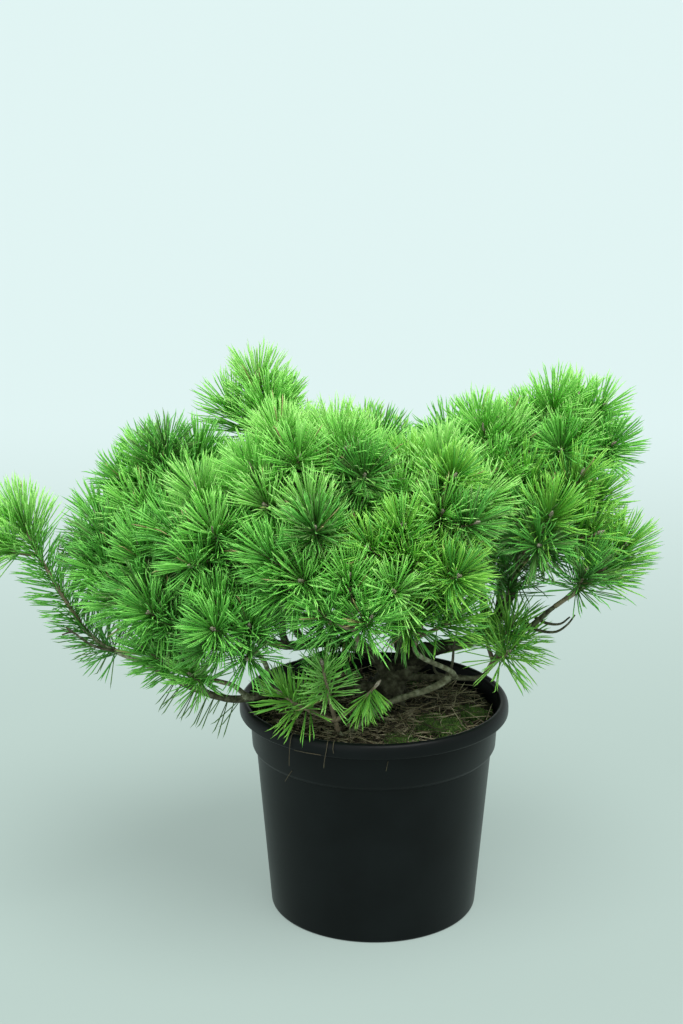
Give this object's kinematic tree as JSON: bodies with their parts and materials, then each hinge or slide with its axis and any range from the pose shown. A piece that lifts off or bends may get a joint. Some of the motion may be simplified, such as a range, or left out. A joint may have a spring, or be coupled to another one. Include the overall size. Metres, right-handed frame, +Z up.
{
  "type": "potted jane kluis japanese red pine",
  "caption": "Low, spreading dwarf red pine with a short leaning trunk, upswept boughs and dense tufts of needles, in a black nursery pot.",
  "frame": {"origin": "middle of the pot's flat underside", "axes": "+Z up out of the pot; -Y towards the side that is seen in the picture; +X to its right"},
  "size_m": [0.8254, 0.582, 0.686],
  "materials": {
    "pot_plastic": "black, satin",
    "litter_soil": "damp potting soil under dry needle litter and moss",
    "bark": "grey-brown, flaking",
    "needles": "stiff fresh green needles in sprays"
  },
  "bodies": {
    "root": {"pot": "pot_plastic", "soil": "litter_soil", "trunk": "bark", "bough_right_crown": "bark", "bough_top_right": "bark", "bough_right_top": "bark", "bough_right_out": "bark", "bough_right_low": "bark", "bough_front_right": "bark", "bough_crown_front": "bark", "bough_crown_centre": "bark", "bough_top_mid": "bark", "bough_centre_front": "bark", "bough_front_mid": "bark", "bough_front_left": "bark", "bough_front_foot": "bark", "bough_left_crown": "bark", "bough_left_front": "bark", "bough_top_left": "bark", "bough_top_front": "bark", "bough_left_outer": "bark", "bough_far_left": "bark", "bough_left_foot": "bark", "bough_left_low": "bark", "bough_left_mid": "bark", "bough_back_stem": "bark", "bough_back_low": "bark", "bough_back_right": "bark", "bough_back_left": "bark", "bough_back_crown": "bark", "bough_back_side": "bark", "foliage_right_crown": "needles", "foliage_top_right": "needles", "foliage_right_top": "needles", "foliage_right_out": "needles", "foliage_right_low": "needles", "foliage_front_right": "needles", "foliage_crown_front": "needles", "foliage_crown_centre": "needles", "foliage_top_mid": "needles", "foliage_centre_front": "needles", "foliage_front_mid": "needles", "foliage_front_left": "needles", "foliage_front_foot": "needles", "foliage_left_crown": "needles", "foliage_left_front": "needles", "foliage_top_left": "needles", "foliage_top_front": "needles", "foliage_left_outer": "needles", "foliage_far_left": "needles", "foliage_left_foot": "needles", "foliage_left_low": "needles", "foliage_left_mid": "needles", "foliage_back_stem": "needles", "foliage_back_low": "needles", "foliage_back_right": "needles", "foliage_back_left": "needles", "foliage_back_crown": "needles", "foliage_back_side": "needles"}
  },
  "joints": []
}
